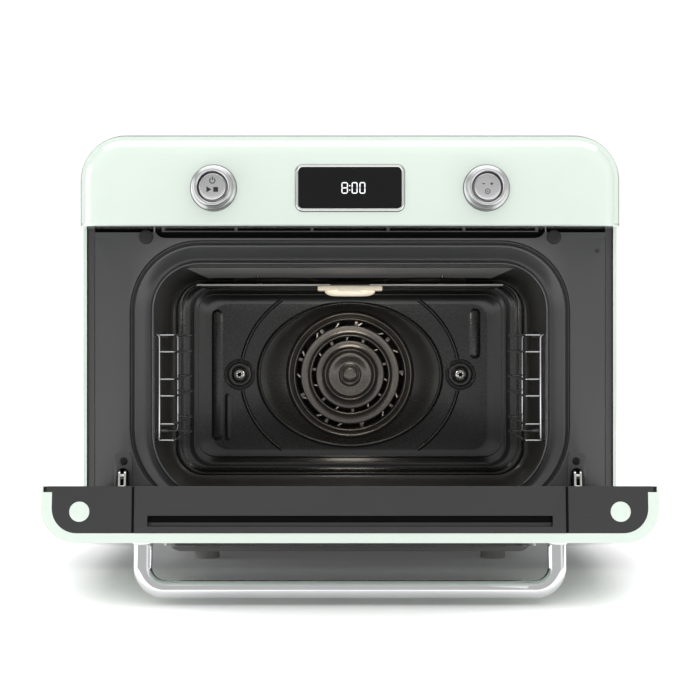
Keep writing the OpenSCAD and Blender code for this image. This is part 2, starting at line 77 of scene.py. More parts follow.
NOISE_RANGE = (0.7, 1.3)                         # where the two noises' sum mostly lies
BUMP_HEIGHT = 0.0004


def surface(name, rgb, rough=0.4, metal=0.0, coat=0.0, bump=0.0, grain=600.0, wear=0.06, tone=0.04,
            stretch=(1, 1, 1), emit=None, alpha=1.0, transmission=0.0, ior=1.5, coat_rough=0.05, fine=3.0,
            spec=0.5):
    """Enamel, metal or plastic: cloudy tone, speckled roughness and fine bump over a Principled shader."""
    m = bpy.data.materials.new(name)
    m.use_nodes = True
    nt = m.node_tree
    p = nt.nodes["Principled BSDF"]
    base = linear(rgb)
    p.inputs["Metallic"].default_value = metal
    p.inputs["Coat Weight"].default_value = coat
    p.inputs["Coat Roughness"].default_value = coat_rough
    p.inputs["Transmission Weight"].default_value = transmission
    p.inputs["IOR"].default_value = ior
    p.inputs["Specular IOR Level"].default_value = spec
    p.inputs["Alpha"].default_value = alpha
    tc = nt.nodes.new("ShaderNodeTexCoord")
    mp = nt.nodes.new("ShaderNodeMapping")
    mp.inputs["Scale"].default_value = stretch
    nt.links.new(tc.outputs["Object"], mp.inputs["Vector"])
    cloud = nt.nodes.new("ShaderNodeTexNoise")
    cloud.inputs["Scale"].default_value = 14
    cloud.inputs["Detail"].default_value = 4
    nt.links.new(mp.outputs["Vector"], cloud.inputs["Vector"])
    fleck = nt.nodes.new("ShaderNodeTexNoise")
    fleck.inputs["Scale"].default_value = grain
    fleck.inputs["Detail"].default_value = fine
    nt.links.new(mp.outputs["Vector"], fleck.inputs["Vector"])
    both = nt.nodes.new("ShaderNodeMath")
    both.operation = "ADD"
    nt.links.new(cloud.outputs["Fac"], both.inputs[0])
    nt.links.new(fleck.outputs["Fac"], both.inputs[1])
    r = nt.nodes.new("ShaderNodeMapRange")
    r.inputs["From Min"].default_value = NOISE_RANGE[0]
    r.inputs["From Max"].default_value = NOISE_RANGE[1]
    r.inputs["To Min"].default_value = max(0.02, rough - wear)
    r.inputs["To Max"].default_value = rough + wear
    nt.links.new(both.outputs[0], r.inputs["Value"])
    nt.links.new(r.outputs["Result"], p.inputs["Roughness"])
    ramp = nt.nodes.new("ShaderNodeValToRGB")
    ramp.color_ramp.elements[0].position = 0.3
    ramp.color_ramp.elements[1].position = 0.7
    ramp.color_ramp.elements[0].color = tuple(c * (1 - tone) for c in base[:3]) + (1,)
    ramp.color_ramp.elements[1].color = tuple(min(1, c * (1 + tone)) for c in base[:3]) + (1,)
    nt.links.new(cloud.outputs["Fac"], ramp.inputs["Fac"])
    nt.links.new(ramp.outputs["Color"], p.inputs["Base Color"])
    if bump:
        b = nt.nodes.new("ShaderNodeBump")
        b.inputs["Strength"].default_value = bump
        b.inputs["Distance"].default_value = BUMP_HEIGHT
        nt.links.new(fleck.outputs["Fac"], b.inputs["Height"])
        nt.links.new(b.outputs["Normal"], p.inputs["Normal"])
    if emit:
        p.inputs["Emission Color"].default_value = linear(emit[:3])
        p.inputs["Emission Strength"].default_value = emit[3]
    return m


MINT = surface("mint_enamel", (198, 209, 200), 0.06, coat=0.8, bump=0.012, grain=260, wear=0.015, tone=0.012,
               coat_rough=0.02)
DARK = surface("dark_enamel", (49, 49, 50), 0.36, coat=0.5, bump=0.08, grain=1400, wear=0.05, tone=0.05,
               coat_rough=0.18)
CAVITY = surface("cavity_enamel", (21, 21, 20), 0.28, coat=0.5, bump=0.02, grain=900, wear=0.03, tone=0.06,
                 coat_rough=0.16)
CHROME = surface("chrome", (222, 222, 224), 0.07, metal=1, wear=0.025, tone=0.02, grain=300)
SATIN = surface("satin_steel", (196, 196, 197), 0.33, metal=1, bump=0.05, grain=1500, wear=0.06, tone=0.04)
BRUSHED = surface("brushed_steel", (178, 176, 172), 0.3, metal=1, bump=0.12, grain=900, wear=0.08, tone=0.06,
                  stretch=(0.06, 1, 1))
ZINC = surface("galvanised_sheet", (150, 153, 155), 0.42, metal=0.9, bump=0.05, grain=160, wear=0.12,
               tone=0.14)
PLINTH = surface("plinth_paint", (150, 150, 148), 0.5, bump=0.14, grain=1500, wear=0.06, tone=0.05)
HEATER = surface("heater_sheath", (84, 78, 72), 0.48, metal=0.8, bump=0.2, grain=1100, wear=0.1, tone=0.2)
MOTOR = surface("motor_metal", (128, 130, 132), 0.42, metal=0.85, bump=0.1, grain=700, wear=0.08, tone=0.1)
RUBBER = surface("black_rubber", (26, 26, 26), 0.7, bump=0.25, grain=1600, wear=0.08, tone=0.1)
WOOL = surface("mineral_wool", (190, 184, 160), 0.95, bump=0.9, grain=500, wear=0.04, tone=0.2, fine=8)
PLASTIC = surface("black_plastic", (30, 30, 31), 0.5, bump=0.18, grain=1300, wear=0.06, tone=0.06)
SCREEN = surface("display_black", (5, 5, 6), 0.09, spec=0.3, wear=0.02, tone=0.2, grain=200)
BOARD = surface("circuit_board", (34, 84, 52), 0.4, bump=0.2, grain=900, wear=0.1, tone=0.14)
GLASS = surface("tinted_door_glass", (38, 41, 41), 0.05, coat=1.0, wear=0.02, tone=0.05, grain=120,
                alpha=0.78)
LAMP = surface("lamp_glass", (255, 244, 224), 0.4, wear=0.05, tone=0.02, emit=(255, 238, 212, 0.42))
# painted light: the lamp's surround glows faintly though only the lens is the lamp
LAMPSET_PAINTED_GLOW = surface("lamp_surround", (226, 216, 198), 0.35, metal=0.4, wear=0.05, tone=0.05,
                  emit=(255, 232, 200, 0.12))
DIGIT = surface("display_digit", (205, 206, 206), 0.5, wear=0.03, tone=0.01, emit=(225, 228, 230, 0.65))
MARK = surface("printed_mark", (16, 16, 17), 0.55, wear=0.03, tone=0.05)
TRIM = surface("door_frame_enamel", (33, 33, 34), 0.45, coat=0.1, bump=0.10, grain=1400, wear=0.05, tone=0.05,
               coat_rough=0.3)
# painted light: the sheet under the ceiling is a lighter grey and glows faintly though it is no lamp
ROOF_PAINTED_GLOW = surface("cavity_roof_painted_glow", (112, 111, 110), 0.55, bump=0.06, grain=900, wear=0.06, tone=0.06,
               emit=(255, 254, 252, 0.045))
# painted light: the fan cover is the cavity's dark enamel, given a warm light grey for the lamp's light on it
LAMPLIT_COVER = surface("fan_cover_painted_lamplight", (100, 96, 91), 0.24, metal=0.85, coat=0.3, bump=0.008, grain=900,
                wear=0.03, tone=0.03, coat_rough=0.1)
# painted light: a lighter copy of the rear panel's enamel for the bowl round the fan
LIT_BOWL_ENAMEL = surface("fan_bowl_painted_light", (50, 49, 46), 0.26, metal=0.3, coat=0.4, bump=0.01, grain=900, wear=0.03,
               tone=0.05, coat_rough=0.14)
# painted shade: a near-black copy of the cavity enamel for the rear panel's deep slope
SHADED_SLOPE_ENAMEL = surface("slope_painted_shade", (10, 10, 10), 0.3, coat=0.6, bump=0.01, grain=900, wear=0.03, tone=0.06,
               coat_rough=0.16)
# painted shade: the fan disc is near-black so the slots in the cover read dark
FAN_DISC_SHADE = surface("fan_disc_steel", (30, 29, 28), 0.5, metal=0.3, bump=0.1, grain=700, wear=0.1, tone=0.2)
WALLS = surface("cavity_wall_enamel", (72, 71, 69), 0.34, coat=0.3, bump=0.06, grain=900, wear=0.06, tone=0.1,
                coat_rough=0.2)
BLACKED = surface("black_screw", (22, 22, 22), 0.2, metal=0.4, bump=0.06, grain=900, wear=0.05, tone=0.1)
BEZEL = surface("bezel_steel", (222, 224, 222), 0.2, metal=1, bump=0.02, grain=900, wear=0.05, tone=0.04)
RIM = surface("dark_gasket", (84, 88, 85), 0.5, bump=0.1, grain=900, wear=0.06, tone=0.08)
# painted shade: near-black for the slot bottoms, slot linings, screw sockets and the sheet behind the air
# outlet
SHADOW_GAP = surface("shadow_gap", (6, 6, 6), 0.8, wear=0.05, tone=0.1, spec=0.1)
BLADE = surface("fan_blades", (196, 190, 180), 0.25, metal=1, bump=0.06, grain=700, wear=0.1, tone=0.2)
# painted highlight: a lighter metal for the lip of the mouth
LIP_HIGHLIGHT = surface("lip_painted_highlight", (104, 104, 104), 0.3, metal=0.5, bump=0.05, grain=900, wear=0.06, tone=0.06)
FOOT = surface("grey_rubber", (150, 150, 148), 0.7, bump=0.2, grain=1500, wear=0.08, tone=0.08)
SHINE = surface("hinge_steel", (214, 212, 208), 0.16, metal=1, bump=0.04, grain=700, wear=0.05, tone=0.05)

BY_SLOT = {"mint_enamel": MINT, "dark_frame": DARK, "cavity_enamel": CAVITY, "chrome": CHROME,
           "satin_steel": SATIN, "heater_tube": HEATER, "galvanised_sheet": ZINC, "motor_metal": MOTOR,
           "seal_rubber": RUBBER, "mineral_wool": WOOL, "black_plastic": PLASTIC, "display_black": SCREEN,
           "circuit_board": BOARD, "lamp_glass": LAMP, "door_glass": GLASS}
BY_NODE = {"ceiling_plate": BRUSHED, "door_inner_frame": TRIM, "base_plinth": PLINTH, "lamp_housing": LAMPSET_PAINTED_GLOW,
           "fan_wheel": FAN_DISC_SHADE, "feet": FOOT}
SLOT = {s["node"]: s["material_slot"] for s in record["subparts"]}
for node, obj in frame["nodes"].items():
    finish_material = BY_NODE.get(node, BY_SLOT[SLOT[node]])
    if not obj.material_slots:
        obj.data.materials.append(finish_material)
    for s in obj.material_slots:
        s.material = finish_material


# ---------------------------------------------------------------- mesh helpers
def piece(name, bm, material, rides, replaces=(), angle=38):
    """Turns a bmesh into a named object that rides a body; edges flatter than angle shade smooth."""
    bmesh.ops.remove_doubles(bm, verts=bm.verts, dist=2e-6)
    bmesh.ops.recalc_face_normals(bm, faces=bm.faces)
    limit = math.radians(angle)
    for f in bm.faces:
        f.smooth = True
    for e in bm.edges:
        e.smooth = len(e.link_faces) == 2 and e.calc_face_angle(3.0) < limit
    me = bpy.data.meshes.new(name)
    bm.to_mesh(me)
    bm.free()
    me.materials.append(material)
    ob = bpy.data.objects.new(name, me)
    bpy.context.scene.collection.objects.link(ob)
    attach(ob, rides)
    if replaces:
        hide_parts(*replaces)
    return ob


def rings(bm, loops, closed=True, cap0=False, cap1=False):
    """Joins loops of equal length, one after another, with quads."""
    rows = [[bm.verts.new(p) for p in loop] for loop in loops]
    n = len(rows[0])
    for a, b in zip(rows, rows[1:]):
        for i in range(n if closed else n - 1):
            j = (i + 1) % n
            if (a[i].co - a[j].co).length > 1e-7 or (b[i].co - b[j].co).length > 1e-7:
                try:
                    bm.faces.new((a[i], a[j], b[j], b[i]))
                except ValueError:
                    pass
    if cap0:
        bm.faces.new(rows[0])
    if cap1:
        bm.faces.new(rows[-1])
    return rows


def arch(hw, z0, z1, rt, rb, n=14):
    """A rectangle with rounded corners: rt at the top, rb at the bottom."""
    out = []
    for cx, cz, r, a0 in ((hw - rb, z0 + rb, rb, -90), (hw - rt, z1 - rt, rt, 0),
                          (rt - hw, z1 - rt, rt, 90), (rb - hw, z0 + rb, rb, 180)):
        for i in range(n + 1):
            a = math.radians(a0 + 90 * i / n)
            out.append((cx + r * math.cos(a), cz + r * math.sin(a)))
    return out


def mouth(d, n=14):
    """The cavity's mouth, d millimetres out from its edge."""
    return arch(181 + d, 64 - 0.6 * d, 279.8 + d, 42 + d, 60 + 0.8 * d, n)


def plane(loop, y, place=body):
    return [place(x, y, z) for x, z in loop]


def shift(loop, dx, dz):
    return [(x + dx, z + dz) for x, z in loop]


def inset(points, d):
    """Moves each side of a closed anticlockwise outline inwards by half of d."""
    out = []
    n = len(points)
    for i in range(n):
        a, b, c = points[i - 1], points[i], points[(i + 1) % n]
        e1 = Vector((b[0] - a[0], b[1] - a[1]))
        e2 = Vector((c[0] - b[0], c[1] - b[1]))
        if e1.length < 1e-6 or e2.length < 1e-6:
            out.append(b)
            continue
        n1 = Vector((-e1.y, e1.x)).normalized()
        n2 = Vector((-e2.y, e2.x)).normalized()
        m = n1 + n2
        k = d / max(0.35, m.length_squared / 2) / 2
        out.append((b[0] + m.x * k, b[1] + m.y * k))
    return out


def pad(bm, outline, y_back, y_front, edge=0.5, place=body):
    """A flat raised plate with a softened front edge; the front faces -Y."""
    back = edge if y_front < y_back else -edge
    loops = [plane(outline, y_back, place), plane(outline, y_front + back, place)]
    for k in (1, 2, 3):
        a = math.pi / 6 * k
        smaller = inset(outline, edge * (1 - math.cos(a)))
        loops.append(plane(smaller, y_front + back * (1 - math.sin(a)), place))
    rings(bm, loops, cap1=True, cap0=True)


def ring(cx, cz, r, n):
    """n points on a circle."""
    turns = [2 * math.pi * i / n for i in range(n)]
    return [(cx + r * math.cos(t), cz + r * math.sin(t)) for t in turns]


def lathe(bm, cx, cz, profile, n=96):
    """Turns (radius, y) points about a front-to-back axis."""
    rings(bm, [plane(ring(cx, cz, max(r, 0.0005), n), y) for r, y in profile])


def fillet(points, radius, steps=6):
    """Rounds the inner corners of a polyline, both in metres."""
    pts = [Vector(p) for p in points]
    out = [pts[0]]
    for a, b, c in zip(pts, pts[1:], pts[2:]):
        u, v = (a - b), (c - b)
        half = u.angle(v) / 2
        reach = min(radius / max(math.tan(half), 1e-3), u.length * 0.49, v.length * 0.49)
        r = reach * math.tan(half)
        u.normalize(), v.normalize()
        centre = b + (u + v).normalized() * (r / math.sin(half))
        s, e = b + u * reach - centre, b + v * reach - centre
        for i in range(steps + 1):
            t = i / steps
            ang = s.angle(e)
            k0 = math.sin((1 - t) * ang) / math.sin(ang)
            k1 = math.sin(t * ang) / math.sin(ang)
            out.append(centre + s * k0 + e * k1)
    out.append(pts[-1])
    return out


def tube(bm, path, radius, n=16, cap=True, radii=None):
    """A round tube along a path of points in metres."""
    path = [Vector(p) for p in path]
    t = (path[1] - path[0]).normalized()
    side = t.orthogonal().normalized()
    loops = []
    for i, p in enumerate(path):
        if i == 0:
            d = (path[1] - path[0]).normalized()
        elif i == len(path) - 1:
            d = (path[-1] - path[-2]).normalized()
        else:
            d = ((path[i + 1] - p).normalized() + (p - path[i - 1]).normalized()).normalized()
        side = (side - d * side.dot(d)).normalized()
        up = d.cross(side)
        r = (radii[i] if radii else radius) * MM
        loops.append([p + (side * math.cos(2 * math.pi * k / n) + up * math.sin(2 * math.pi * k / n)) * r
                      for k in range(n)])
    rings(bm, loops, cap0=cap, cap1=cap)


def block(bm, x0, x1, y0, y1, z0, z1, edge=0.4, place=body):
    """A box whose edges are all softened."""
    new = bmesh.ops.create_cube(bm, size=1)["verts"]
    for v in new:
        v.co = place(x0 + (v.co.x + 0.5) * (x1 - x0), y0 + (v.co.y + 0.5) * (y1 - y0),
                     z0 + (v.co.z + 0.5) * (z1 - z0))
    edges = list({e for v in new for e in v.link_edges})
    bmesh.ops.bevel(bm, geom=edges, offset=edge * MM, segments=2, affect="EDGES", profile=0.7)


# ---------------------------------------------------------------- control fascia
FASCIA_HW, FASCIA_Z0, FASCIA_Z1, FASCIA_R = 243.5, 312, 395, 41.5
FASCIA_EDGE = 20.5                               # the big round along its sides and top
LOWER_EDGE = 2.2                                 # the small round along its bottom
CONTROLS_Z = 345.8                               # height of the knobs and the display
KNOB_X = 122

bm = bmesh.new()
loops = []
for k in range(17):
    a = math.pi / 2 * k / 16
    d, y = FASCIA_EDGE * (1 - math.sin(a)), FASCIA_EDGE * (1 - math.cos(a))
    lift = LOWER_EDGE - math.sqrt(LOWER_EDGE ** 2 - (LOWER_EDGE - y) ** 2) if y < LOWER_EDGE else 0
    loops.append(plane(arch(FASCIA_HW - d, FASCIA_Z0 + lift, FASCIA_Z1 - d, FASCIA_R - d, 1.2, 18), y))
for d, r, rb, y in ((0, 41.5, 1.2, 44.4), (0.4, 40.6, 1.1, 45)):       # back edge
    loops.append(plane(arch(FASCIA_HW - d, FASCIA_Z0 + d, FASCIA_Z1 - d, r, rb, 18), y))
for y in (45, 6):                                # inner wall
    loops.append(plane(arch(240.7, 314.6, 392.2, 38, 1, 18), y))
rings(bm, loops, cap0=True, cap1=True)
piece("fascia_panel", bm, MINT, "oven", ["control_fascia"])


def display_outline(hw, hh, r):
    return shift(arch(hw, -hh, hh, r, r), 0, CONTROLS_Z)


bm = bmesh.new()
BEZEL_FORM = [(0, 0), (0, -0.9), (0.25, -1.4), (0.7, -1.65), (1.4, -1.68), (2.0, -1.5), (2.35, -1.1),
              (2.45, -0.6)]
rings(bm, [plane(display_outline(48.7 - d, 20.85 - d, 6.8 - d), y) for d, y in BEZEL_FORM])
piece("bezel_ring", bm, BEZEL, "oven", ["display_bezel"])

bm = bmesh.new()                                 # dark gaskets behind the bezel and the knobs
seat = display_outline(49.3, 21.45, 7.4)
rings(bm, [plane(seat, 0.6), plane(seat, -0.12), plane(display_outline(48, 20.2, 6.2), -0.12)])
for side in (-1, 1):
    lathe(bm, side * KNOB_X, CONTROLS_Z, [(21.0, 0.6), (21.0, -0.3), (20.7, -0.55), (18, -0.6)], 96)
piece("seat_gaskets", bm, RIM, "oven")


def stroke(bm, x0, z0, x1, z1, wide, y_back, y_front):
    """A raised line with round ends."""
    a, b = Vector((x0, z0)), Vector((x1, z1))
    d = (b - a).normalized()
    out = []
    for c, s in ((b, 1), (a, -1)):
        base = math.atan2(d.y * s, d.x * s)
        for i in range(7):
            t = base - math.pi / 2 + math.pi * i / 6
            out.append((c.x + wide / 2 * math.cos(t), c.y + wide / 2 * math.sin(t)))
    pad(bm, out, y_back, y_front, 0.05)


SEGMENTS = {"top": (0, 1, 1, 1), "mid": (0, 0.5, 1, 0.5), "low": (0, 0, 1, 0), "ul": (0, 0.5, 0, 1),
            "ur": (1, 0.5, 1, 1), "ll": (0, 0, 0, 0.5), "lr": (1, 0, 1, 0.5)}


DISPLAY_Y = (-0.85, -1.0)                        # back and front of the lit strokes


def digit(bm, x, z, w, h, which):
    """A clock digit made of rounded seven-segment strokes."""
    gap = 0.16 * w
    for name in which:
        x0, z0, x1, z1 = SEGMENTS[name]
        px0, px1 = x + w * x0, x + w * x1
        pz0, pz1 = z + h * z0, z + h * z1
        if x0 == x1:
            pz0, pz1 = pz0 + gap, pz1 - gap
        else:
            px0, px1 = px0 + gap, px1 - gap
        stroke(bm, px0, pz0, px1, pz1, 0.95, *DISPLAY_Y)


bm = bmesh.new()
zero = ("top", "low", "ul", "ur", "ll", "lr")
digit(bm, -7.2, 341.2, 4.9, 9.3, zero + ("mid",))
digit(bm, 1.9, 341.2, 4.4, 9.3, zero)
digit(bm, 8.9, 341.2, 4.4, 9.3, zero)
for dz in (343.9, 347.8):
    stroke(bm, -0.35, dz, -0.2, dz, 1.1, *DISPLAY_Y)
piece("clock_digits", bm, DIGIT, "oven")

# ---------------------------------------------------------------- knobs and push buttons
RING = [(9, -0.7), (19.6, -0.7), (20.3, -0.9), (20.45, -1.6), (20.3, -2.6), (19.7, -3.4), (18.8, -3.9),
        (18.1, -4.3), (17.75, -5.2), (17.65, -9), (17.6, -12.2), (17.45, -13.2), (17.0, -14.1), (16.3, -14.7),
        (15.7, -14.9), (14.9, -14.85), (14.1, -14.5), (13.6, -13.8), (13.2, -12.8), (12.9, -11.6), (12.7, -8)]
CAP = [(11.9, -7.5), (11.9, -13.2), (11.75, -13.8), (11.3, -14.15), (10.6, -14.3), (8, -14.38), (4, -14.42),
       (0, -14.44)]
for side, x in (("left", -KNOB_X), ("right", KNOB_X)):
    bm = bmesh.new()
    lathe(bm, x, CONTROLS_Z, RING, 120)
    piece("knob_" + side, bm, SATIN, "knob_" + side, ["knob_ring_" + side])
    bm = bmesh.new()
    lathe(bm, x, CONTROLS_Z, [(12.55, -8.2), (12.0, -8.2)], 60)
    lathe(bm, x, CONTROLS_Z, CAP, 96)
    piece("button_" + side, bm, SATIN, "button_" + side, ["push_button_" + side])

BUTTON_FACE = -14.38
MARK_FACE = BUTTON_FACE - 0.14


def arc_mark(bm, cx, cz, r, a0, a1, wide, n=22):
    """A raised arc on a button's face."""
    pts = []
    for radius, order in ((r + wide / 2, range(n + 1)), (r - wide / 2, range(n, -1, -1))):
        for i in order:
            t = math.radians(a0 + (a1 - a0) * i / n)
            pts.append((cx + radius * math.cos(t), cz + radius * math.sin(t)))
    for i in range(len(pts) // 2 - 1):
        quad = [pts[i], pts[i + 1], pts[-i - 2], pts[-i - 1]]
        rings(bm, [plane(quad, BUTTON_FACE), plane(quad, BUTTON_FACE - 0.12)], cap0=True, cap1=True)


def bar_mark(bm, x0, x1, dz0, dz1, wide):
    """A raised bar on a button's face, its ends dz0 and dz1 above the knob's axis."""
    stroke(bm, x0, CONTROLS_Z + dz0, x1, CONTROLS_Z + dz1, wide, BUTTON_FACE, MARK_FACE)


def solid_mark(bm, corners):
    pad(bm, [(x, CONTROLS_Z + dz) for x, dz in corners], BUTTON_FACE, MARK_FACE, 0.05)


bm = bmesh.new()                                 # power mark, then start and stop marks
arc_mark(bm, -KNOB_X, CONTROLS_Z + 5.4, 2.35, 125, 415, 0.85)
bar_mark(bm, -KNOB_X, -KNOB_X, 6.0, 8.6, 0.85)
solid_mark(bm, [(-127.2, -5.0), (-122.9, -2.4), (-127.2, 0.2)])
solid_mark(bm, [(-121.2, -4.6), (-116.9, -4.6), (-116.9, -0.3), (-121.2, -0.3)])
piece("mark_power", bm, MARK, "button_left")
bm = bmesh.new()                                 # less and more marks, and a ring for confirming
bar_mark(bm, 117.4, 119.3, 2.6, 2.6, 0.75)
bar_mark(bm, 124.6, 126.8, 2.6, 2.6, 0.75)
bar_mark(bm, 125.7, 125.7, 1.5, 3.7, 0.75)
arc_mark(bm, KNOB_X, CONTROLS_Z - 4.0, 2.1, 0, 359.9, 0.62)
bar_mark(bm, KNOB_X - 0.05, KNOB_X + 0.05, -4.0, -4.0, 1.2)
piece("mark_setting", bm, MARK, "button_right")


# ---------------------------------------------------------------- front frame
FRAME_HW, FRAME_TOP = 235, 303.8
OUTLET_TOP = 309                                 # lower edge of the air outlet's opening
STEP_Z, STEP_Y = 73, 50.2                        # below this height the frame lies further back
HINGE_X = 208.6
SLOT_X, SLOT_Z = (203, 214.2), (52, 92.5)        # openings that the hinge arms swing through


def low(points, y):
    """The frame steps back below the hinge line, clear of the door's lower corner."""
    return [body(x, max(y, STEP_Y) if z < STEP_Z else y, z) for x, z in points]


def slot_cut(bm):
    """Opens the two slots that the hinge arms swing through."""
    cuts = [(body(s * x, 0, 0), (1, 0, 0)) for s in (-1, 1) for x in SLOT_X]
    cuts += [(body(0, 0, z), (0, 0, 1)) for z in SLOT_Z]
    for at, normal in cuts:
        bmesh.ops.bisect_plane(bm, geom=bm.verts[:] + bm.edges[:] + bm.faces[:], plane_co=at, plane_no=normal)
    inside_slot = []
    for f in bm.faces:
        c = f.calc_center_median() / MM
        if SLOT_X[0] < abs(c.x) < SLOT_X[1] and SLOT_Z[0] < c.z < SLOT_Z[1]:
            inside_slot.append(f)
    bmesh.ops.delete(bm, geom=inside_slot, context="FACES")


bm = bmesh.new()
rings(bm, [low(arch(241.7, 49.4, 318, 1, 1), 50.6), low(arch(235.6, 49.5, 318, 1, 1), 50.6)])
# (distance out from the mouth, depth): flat face, outer groove, dished channel, rolled lip
DISH = [(22.6, 47.0), (22.1, 47.1), (21.6, 47.6), (21.2, 48.6), (20.9, 51.6), (18.3, 51.9), (17.9, 50.4),
        (17.5, 49.9), (17.0, 49.8), (15.6, 50.4), (13.2, 51.5), (10.4, 53.0), (7.6, 54.7), (5.2, 56.0),
        (4.0, 56.3), (3.3, 55.8), (2.8, 54.6), (2.3, 53.0), (1.9, 51.9), (1.5, 51.1), (1.05, 50.6),
        (0.6, 50.5), (0.25, 50.8), (0.08, 51.6), (0.0, 53.5), (0.0, 57.0)]
border = [low(arch(FRAME_HW - d, 49.5 + dz, FRAME_TOP, 1, 2), y)
          for d, dz, y in ((0, 0, 51.0), (0, 0, 47.5), (0.3, 0.1, 47.1), (0.8, 0.2, 47.0))]
rings(bm, border + [low(mouth(d), y) for d, y in DISH])
corner = [(FRAME_HW, FRAME_TOP), (FRAME_HW, OUTLET_TOP), (178.6, OUTLET_TOP)]
for i in range(9):
    corner.append((178.6 - 9.9 * (i / 8) ** 1.6, OUTLET_TOP - 5.2 * math.sin(math.pi / 2 * i / 8)))
for s in (1, -1):
    out = [(x * s, z) for x, z in corner][::s]
    rings(bm, [plane(out, 51), plane(out, 47.0)], cap1=True)
slot_cut(bm)
piece("frame_face", bm, DARK, "oven", ["front_frame"])

bm = bmesh.new()                                 # a lighter metal tube along the lip of the mouth, above its lower corners: its rounding catches real light, its lighter colour is a painted highlight
lip = low([p for p in mouth(0.75, 20) if p[1] > 76], 50.75)
cut = max(range(len(lip)), key=lambda i: (lip[i] - lip[i - 1]).length)
tube(bm, lip[cut:] + lip[:cut], 0.55, 10)
piece("mouth_lip", bm, LIP_HIGHLIGHT, "oven", angle=60)

bm = bmesh.new()                                 # air outlet under the fascia
# a near-black sheet behind the outlet as painted shade
rings(bm, [plane([(-FRAME_HW, 302), (FRAME_HW, 302), (FRAME_HW, 319), (-FRAME_HW, 319)], 52.5)], cap0=True)
piece("outlet_back", bm, SHADOW_GAP, "oven")
bm = bmesh.new()
block(bm, -173, 173, 47.6, 49.4, 309.5, 310.6, 0.35)
for x in (-172, -105, -35, 35, 105, 172):
    block(bm, x - 1.3, x + 1.3, 47.8, 52, 310, 316.5, 0.3)
piece("outlet_grille", bm, DARK, "oven")

bm = bmesh.new()
BUMPER = [(6.6, 47.2), (6.6, 45.9), (6.3, 45.3), (5.6, 45.0), (3, 44.95), (0, 44.95)]
for s in (-1, 1):
    lathe(bm, s * 187.7, 304.8, BUMPER, 40)
piece("bumper_pads", bm, RUBBER, "oven", ["door_bumpers"])

bm = bmesh.new()                                 # raised bosses round the hinge slots
for s in (-1, 1):
    pad(bm, shift(arch(8.4, 72, 107, 6.5, 1), s * HINGE_X, 0), 47.3, 46.2, 0.7)
slot_cut(bm)
piece("hinge_bosses", bm, DARK, "oven")
bm = bmesh.new()
lining = bmesh.new()
for s in (-1, 1):
    hole = shift(arch(5.3, 52.3, 92.2, 5, 1), s * HINGE_X, 0)
    edge = shift(arch(5.8, 51.8, 92.7, 0.2, 0.2), s * HINGE_X, 0)
    rings(bm, [low(edge, 46.14), low(hole, 46.14), low(hole, 47.4)])
    rings(lining, [low(hole, 46.5), plane(hole, 51.5), plane(hole, 59)])
piece("slot_rims", bm, DARK, "oven")
piece("hinge_slots", lining, SHADOW_GAP, "oven")
bm = bmesh.new()
BOSS_SCREW = [(3.6, 46.3), (3.6, 45.3), (3.3, 44.9), (2.6, 44.75), (1.6, 44.8), (1.4, 45.6), (0, 45.6)]
for s in (-1, 1):
    lathe(bm, s * 208.2, 98.6, BOSS_SCREW, 32)
piece("boss_screws", bm, BLACKED, "oven", ["frame_screws"])

# ---------------------------------------------------------------- cavity
LINER = (194.6, 58.9, 277.3)                     # half width, floor and ceiling of the cavity
bm = bmesh.new()
loops = [plane(mouth(d, 16), y) for d, y in ((0.2, 57.2), (1.2, 58.5), (6, 60.5), (11, 64), (13.6, 70))]
for hw, z0, z1, r, y in ((*LINER, 42, 78), (*LINER, 40, 150), (*LINER, 38, 326),
                         (194.2, 59.3, 277.0, 37, 331), (193.0, 60.4, 276.0, 36, 334.6),
                         (191.2, 62.0, 274.5, 34, 336.4), (189.2, 63.8, 273.2, 32, 337.2)):
    loops.append(plane(arch(hw, z0, z1, r, r, 16), y))
rings(bm, loops)
piece("cavity_walls", bm, WALLS, "oven", angle=50)
# the roof sheet's lighter grey and faint glow are painted light
bm = bmesh.new()                                 # lighter sheet under the ceiling, its long edges turned down
rings(bm, [[body(x, y, z) for x, z in ((-152, 276.6), (-146, 277.2), (146, 277.2), (152, 276.6))]
           for y in (66, 68, 120, 200, 338)], closed=False)
piece("roof_sheet", bm, ROOF_PAINTED_GLOW, "oven")

# rear panel: nested outlines about the fan axis, joined ray by ray
FAN = 172.7                                      # height of the fan's axis
RAYS = 320
SCREW_X = 120


def reach(kind, a, *g):
    """Distance from the fan axis to an outline along the ray at angle a."""
    c, s = math.cos(a), math.sin(a)
    if kind == "circle":
        return g[0]
    if kind == "ellipse":
        return 1 / math.sqrt((c / g[0]) ** 2 + (s / g[1]) ** 2)
    hw, z0, z1, r = g
    lo, hi = 0.0, 400.0
    for _ in range(40):
        m = (lo + hi) / 2
        x, z = abs(m * c), m * s + FAN
        qx = x - (hw - r)
        qz = max(z - (z1 - r), (z0 + r) - z)
        d = math.hypot(max(qx, 0), max(qz, 0)) + min(max(qx, qz), 0) - r
        lo, hi = (m, hi) if d < 0 else (lo, m)
    return lo


def ray_loop(y, kind, *g):
    loop = []
    for i in range(RAYS):
        a = 2 * math.pi * i / RAYS
        r = reach(kind, a, *g)
        loop.append(body(r * math.cos(a), y, FAN + r * math.sin(a)))
    return loop


# (depth, half width, bottom, top, corner radius) from the liner in to the flat panel
STEPS = [(338.2, 189.6, 63.4, 273.6, 32), (337.0, 187.2, 65.0, 272.8, 30), (336.6, 185.4, 65.9, 272.2, 29),
         (337.4, 182.8, 67.4, 271.4, 28), (339.4, 180.6, 68.5, 271.0, 27), (341.0, 174.0, 72.4, 268.0, 24),
         (341.2, 171.4, 74.0, 266.6, 22), (340.8, 169.4, 75.2, 265.3, 21), (341.2, 167.6, 76.4, 264.2, 20),
         (342.8, 162.6, 80.0, 261.2, 19), (344.9, 157.6, 83.6, 257.4, 18), (346.1, 153.6, 87.0, 253.8, 17),
         (346.4, 149.0, 91.0, 249.6, 17)]
SLOPE_FROM = 5                                   # the step where the deep slope starts
